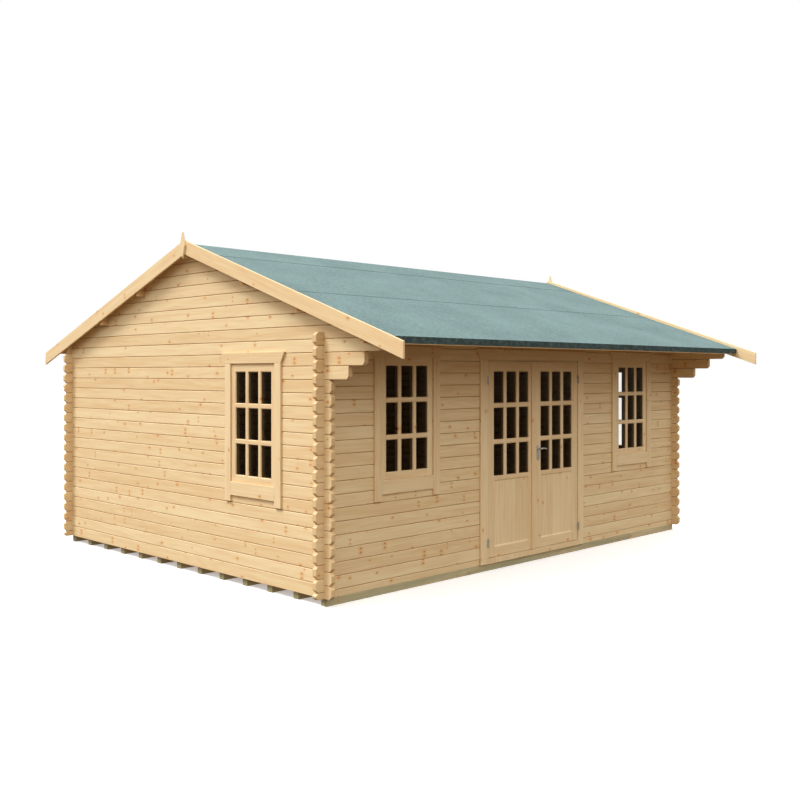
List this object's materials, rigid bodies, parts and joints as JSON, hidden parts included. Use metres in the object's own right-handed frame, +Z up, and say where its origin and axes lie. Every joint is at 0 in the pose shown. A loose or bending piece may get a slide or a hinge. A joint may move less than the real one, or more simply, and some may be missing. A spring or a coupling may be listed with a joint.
{
  "type": "log cabin",
  "caption": "Log cabin with crossed log corners, a glazed double door, small-paned windows and a felted ridge roof that reaches forward over the door.",
  "frame": {"origin": "on the ground under the ridge, half way along the front wall, at the middle of the whole outline", "axes": "+X along the front wall to the right as seen from in front, +Y from front to back, +Z up"},
  "size_m": [5.969, 5.982, 3.3168],
  "materials": {
    "log_wood": "planed spruce logs, untreated, matt",
    "trim_wood": "planed spruce boards, untreated, matt",
    "joinery_wood": "sanded pine joinery, matt",
    "barge_wood": "planed spruce boards, pale, matt",
    "roof_wood": "planed spruce boards and beams, matt",
    "floor_wood": "planed tongued boards, matt",
    "treated_wood": "pressure-treated, green-grey, rough sawn",
    "roof_felt": "mineral felt with teal granules",
    "glass": "clear float glass",
    "satin_metal": "satin"
  },
  "bodies": {
    "cabin": {"front_wall_left": "log_wood", "front_wall_right": "log_wood", "front_wall_top": "log_wood", "back_wall": "log_wood", "left_gable_wall": "log_wood", "left_gable_peak": "log_wood", "right_gable_wall": "log_wood", "right_gable_peak": "log_wood", "door_trim": "trim_wood", "front_left_window_trim": "trim_wood", "front_right_window_trim": "trim_wood", "left_gable_window_trim": "trim_wood", "right_gable_window_trim": "trim_wood", "door_frame": "joinery_wood", "door_threshold": "joinery_wood", "front_left_window": "joinery_wood", "front_right_window": "joinery_wood", "left_gable_window": "joinery_wood", "right_gable_window": "joinery_wood", "left_front_bargeboard": "barge_wood", "left_back_bargeboard": "barge_wood", "right_front_bargeboard": "barge_wood", "right_back_bargeboard": "barge_wood", "gable_finials": "barge_wood", "roof_purlins": "roof_wood", "eaves_battens": "roof_wood", "front_roof_boards": "roof_wood", "back_roof_boards": "roof_wood", "floor_boards": "floor_wood", "floor_bearers": "treated_wood", "front_roof_felt": "roof_felt", "back_roof_felt": "roof_felt", "ridge_felt": "roof_felt", "window_glass": "glass", "frame_hinges": "satin_metal"},
    "left_door": {"left_door": "joinery_wood", "left_door_glass": "glass", "left_door_hinges": "satin_metal"},
    "right_door": {"right_door": "joinery_wood", "right_door_glass": "glass", "right_door_hinges": "satin_metal", "door_handle_plates": "satin_metal"},
    "door_lever": {"door_lever": "satin_metal"}
  },
  "joints": [
    {"name": "left_door_hinge", "type": "hinge", "parent": "cabin", "child": "left_door", "pos_m": [-0.7685, -1.9945, 1], "axis": [0, 0, -1], "range_deg": [0, 110]},
    {"name": "right_door_hinge", "type": "hinge", "parent": "cabin", "child": "right_door", "pos_m": [0.7685, -1.9945, 1], "axis": [0, 0, 1], "range_deg": [0, 110]},
    {"name": "lever_turn", "type": "hinge", "parent": "right_door", "child": "door_lever", "pos_m": [0.0532, -1.978, 1.162], "axis": [0, 1, 0], "range_deg": [0, 40], "stiffness_Nm_per_rad": 0.3, "springref_deg": -34.38}
  ]
}
